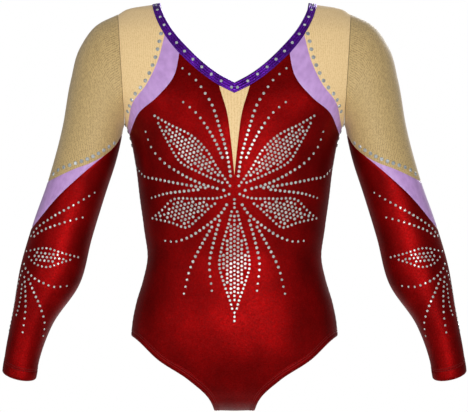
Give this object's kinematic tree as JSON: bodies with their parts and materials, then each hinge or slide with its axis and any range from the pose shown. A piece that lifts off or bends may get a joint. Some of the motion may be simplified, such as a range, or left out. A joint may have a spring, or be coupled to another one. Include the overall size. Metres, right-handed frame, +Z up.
{
  "type": "gymnastics leotard",
  "caption": "Long-sleeved competition leotard with a bound V neck, mesh yokes and sleeves, high-cut legs and crystal trim; each sleeve lifts at the shoulder.",
  "frame": {"origin": "midway between the two high shoulder points, on the centre plane", "axes": "+Z up, -Y out of the front, +X towards the wearer's left"},
  "size_m": [0.6182, 0.1909, 0.5423],
  "materials": {
    "red_foil": "shiny foil-printed stretch fabric",
    "purple_foil": "metallic foil stretch binding",
    "lavender": "satin stretch fabric",
    "nude_mesh": "lined stretch mesh",
    "sleeve_mesh": "sheer stretch mesh",
    "lining": "soft tricot",
    "elastic": "natural rubber tape",
    "thread": "overlocked polyester thread",
    "label": "plain woven satin",
    "crystal_pale": "cut glass with foil back",
    "crystal_grey": "cut glass with foil back"
  },
  "bodies": {
    "torso": {"front_panel": "red_foil", "front_insert": "nude_mesh", "back_panel": "red_foil", "neck_binding": "purple_foil", "neck_elastic": "elastic", "front_lining": "lining", "gusset_lining": "lining", "size_label": "label", "care_label": "label", "neck_crystals": "crystal_pale", "front_band_left": "lavender", "front_band_right": "lavender", "front_yoke_left": "nude_mesh", "front_yoke_right": "nude_mesh", "back_band_left": "lavender", "back_band_right": "lavender", "back_yoke_left": "nude_mesh", "back_yoke_right": "nude_mesh", "leg_hem_left": "red_foil", "leg_hem_right": "red_foil", "leg_elastic_left": "elastic", "leg_elastic_right": "elastic", "side_seam_left": "thread", "side_seam_right": "thread", "shoulder_seam_left": "thread", "shoulder_seam_right": "thread", "armhole_seam_left": "thread", "armhole_seam_right": "thread", "yoke_crystals_left": "crystal_grey", "yoke_crystals_right": "crystal_grey"},
    "sleeve_left": {"upper_sleeve_left": "sleeve_mesh", "sleeve_band_left": "lavender", "lower_sleeve_left": "red_foil", "cuff_hem_left": "red_foil", "cuff_elastic_left": "elastic", "sleeve_crystals_left": "crystal_grey"},
    "sleeve_right": {"upper_sleeve_right": "sleeve_mesh", "sleeve_band_right": "lavender", "lower_sleeve_right": "red_foil", "cuff_hem_right": "red_foil", "cuff_elastic_right": "elastic", "sleeve_crystals_right": "crystal_grey"}
  },
  "joints": [
    {"name": "left_shoulder", "type": "hinge", "parent": "torso", "child": "sleeve_left", "pos_m": [0.151, 0, -0.095], "axis": [0, -1, 0], "range_deg": [-3, 55], "deforming": ["upper_sleeve_left"]},
    {"name": "right_shoulder", "type": "hinge", "parent": "torso", "child": "sleeve_right", "pos_m": [-0.151, 0, -0.095], "axis": [0, 1, 0], "range_deg": [-3, 55], "deforming": ["upper_sleeve_right"]}
  ]
}
